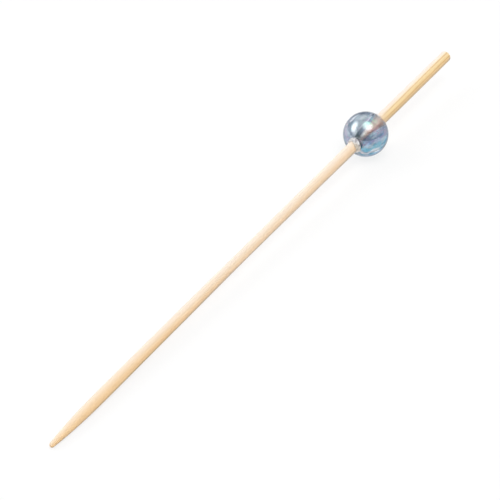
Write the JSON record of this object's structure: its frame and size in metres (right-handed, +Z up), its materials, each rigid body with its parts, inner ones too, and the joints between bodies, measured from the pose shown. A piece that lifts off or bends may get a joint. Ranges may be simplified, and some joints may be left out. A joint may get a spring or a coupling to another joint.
{
  "type": "bead skewer",
  "caption": "Pointed bamboo skewer with a round clear blue bead glued on near its blunt end.",
  "frame": {"origin": "on the table that the skewer lies on, under the middle of its bounding box", "axes": "+X along the skewer from its point to its blunt end, +Z up, the skewer resting on its bead and on the shoulder of its point"},
  "size_m": [0.15, 0.01, 0.01],
  "materials": {
    "bamboo": "bare sanded bamboo, matt, with fine lengthwise fibres",
    "clear_blue": "clear pale blue, polished, with a thin iridescent coat",
    "clear_glue": "set glue, cloudy and whitish, with small bubbles"
  },
  "bodies": {
    "root": {"bamboo_stick": "bamboo", "bead": "clear_blue", "glue_bond": "clear_glue"}
  },
  "joints": []
}
